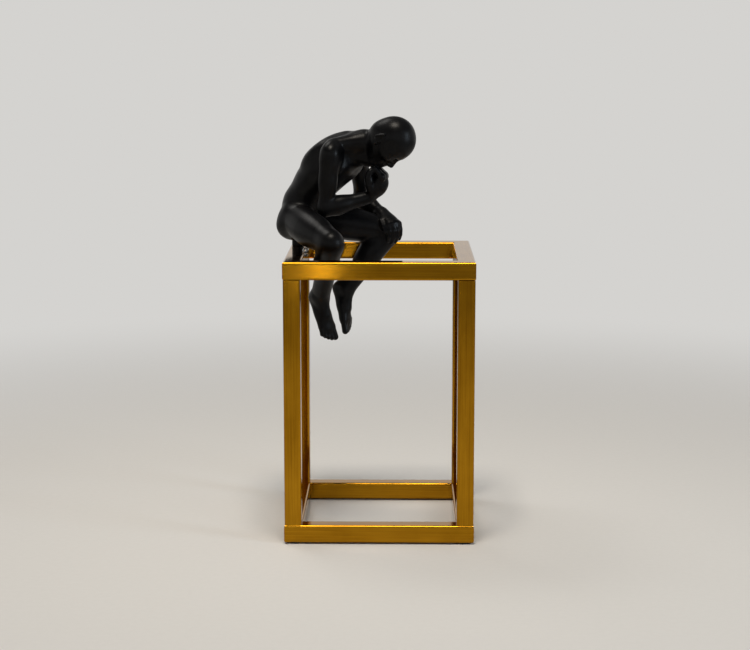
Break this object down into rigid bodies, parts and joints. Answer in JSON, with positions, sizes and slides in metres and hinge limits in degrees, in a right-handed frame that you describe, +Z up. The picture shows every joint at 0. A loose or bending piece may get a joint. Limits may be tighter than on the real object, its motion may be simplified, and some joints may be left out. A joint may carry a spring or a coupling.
{
  "type": "thinker statue",
  "caption": "Satin black seated thinking figure perched on the top rail of a tall open frame of brushed brass square tube; a free-standing desk ornament.",
  "frame": {"origin": "middle of the whole outline seen from above, on the surface that the pads stand on", "axes": "+Z up, +X from the figure's rail to the opposite rail (the picture's right), +Y from the frame's front to its back"},
  "size_m": [0.1136, 0.106, 0.2366],
  "materials": {
    "brass_tube": "brushed lengthwise, clear lacquered, with a bright line on the edges",
    "black_resin": "satin black",
    "pad": "matt black",
    "turned_brass": "turned",
    "steel": "zinc plated",
    "clear_adhesive": "clear and glossy"
  },
  "bodies": {
    "root": {"bottom_back_rail": "brass_tube", "bottom_front_rail": "brass_tube", "bottom_left_rail": "brass_tube", "bottom_right_rail": "brass_tube", "head": "black_resin", "left_arm": "black_resin", "left_leg": "black_resin", "leg_back_left": "brass_tube", "leg_back_right": "brass_tube", "leg_front_left": "brass_tube", "leg_front_right": "brass_tube", "pad_back_left": "pad", "pad_back_right": "pad", "pad_front_left": "pad", "pad_front_right": "pad", "right_arm": "black_resin", "right_leg": "black_resin", "seat_adhesive": "clear_adhesive", "seat_insert": "turned_brass", "seat_screw": "steel", "seat_washer": "steel", "top_back_rail": "brass_tube", "top_front_rail": "brass_tube", "top_left_rail": "brass_tube", "top_right_rail": "brass_tube", "torso": "black_resin"}
  },
  "joints": []
}
